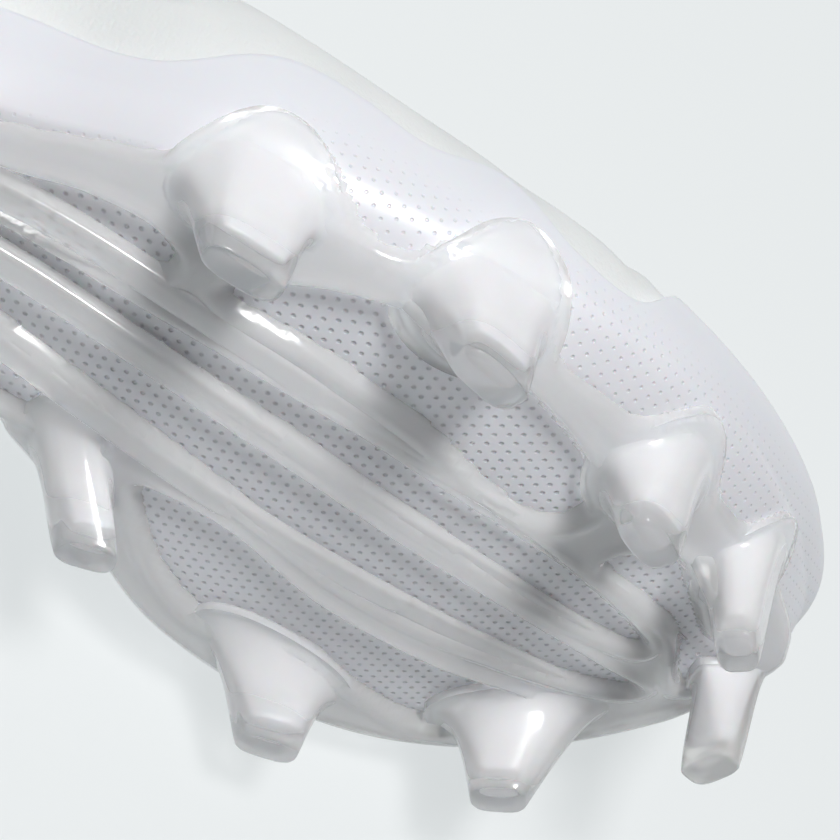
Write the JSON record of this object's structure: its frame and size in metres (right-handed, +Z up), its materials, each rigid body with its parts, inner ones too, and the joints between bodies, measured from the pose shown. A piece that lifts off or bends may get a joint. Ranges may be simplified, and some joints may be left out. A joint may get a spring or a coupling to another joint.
{
  "type": "american football cleat",
  "caption": "Low-cut right-foot american football cleat, white and cream, with a clear studded cage over a white sole, lying on its inner side.",
  "frame": {"origin": "centre of the bounding box on the floor that the shoe lies on", "axes": "+X towards the toe, +Z up from the inner side it lies on to the outer side, +Y from the sole to the collar"},
  "size_m": [0.2956, 0.1088, 0.1036],
  "materials": {
    "white_tpu": "satin, cool white, moulded",
    "clear_tpu": "clear glossy polyurethane",
    "cream_synthetic": "fine-grained synthetic, semi-matte",
    "grey_sockliner": "knitted, matte",
    "cream_mesh": "padded mesh, matte",
    "white_lace": "flat woven, matte"
  },
  "bodies": {
    "root": {"chassis": "white_tpu", "cage": "clear_tpu", "upper": "cream_synthetic", "insole": "grey_sockliner", "tongue": "cream_mesh", "lace_bar_1": "white_lace", "lace_bar_2": "white_lace", "lace_bar_3": "white_lace", "lace_bar_4": "white_lace", "lace_bar_5": "white_lace", "lace_bar_6": "white_lace"}
  },
  "joints": []
}
